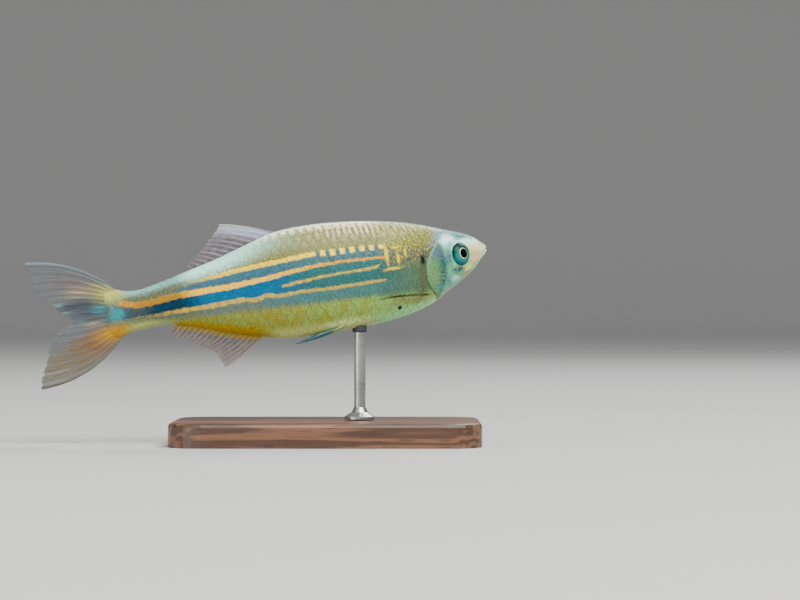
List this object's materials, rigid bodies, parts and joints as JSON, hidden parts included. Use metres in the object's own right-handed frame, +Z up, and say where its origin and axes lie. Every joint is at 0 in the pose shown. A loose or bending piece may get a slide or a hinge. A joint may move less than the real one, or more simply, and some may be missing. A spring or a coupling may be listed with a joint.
{
  "type": "giant danio display model",
  "caption": "Life-size still model of a giant danio turning away as it swims, fins and gill covers as their own parts, held over a flat base by a thin rod.",
  "frame": {"origin": "centre of the base's underside, which rests on a shelf or table", "axes": "+X towards the fish's head, +Z up, and -Y towards the viewer who sees the fish's right side"},
  "size_m": [0.0966, 0.038, 0.0464],
  "materials": {
    "skin": "gloss",
    "fin": "satin",
    "eye": "gloss",
    "base": "satin",
    "rod": "satin"
  },
  "bodies": {
    "root": {"head": "skin", "lower_jaw": "skin", "gill_cover_right": "skin", "gill_cover_left": "skin", "torso": "skin", "tail_stalk": "skin", "eye_right": "eye", "eye_left": "eye", "dorsal_fin": "fin", "anal_fin": "fin", "caudal_fin_upper": "fin", "caudal_fin_lower": "fin", "pectoral_fin_right": "fin", "pectoral_fin_left": "fin", "pelvic_fin_right": "fin", "pelvic_fin_left": "fin", "stand_base": "base", "stand_rod": "rod"}
  },
  "joints": []
}
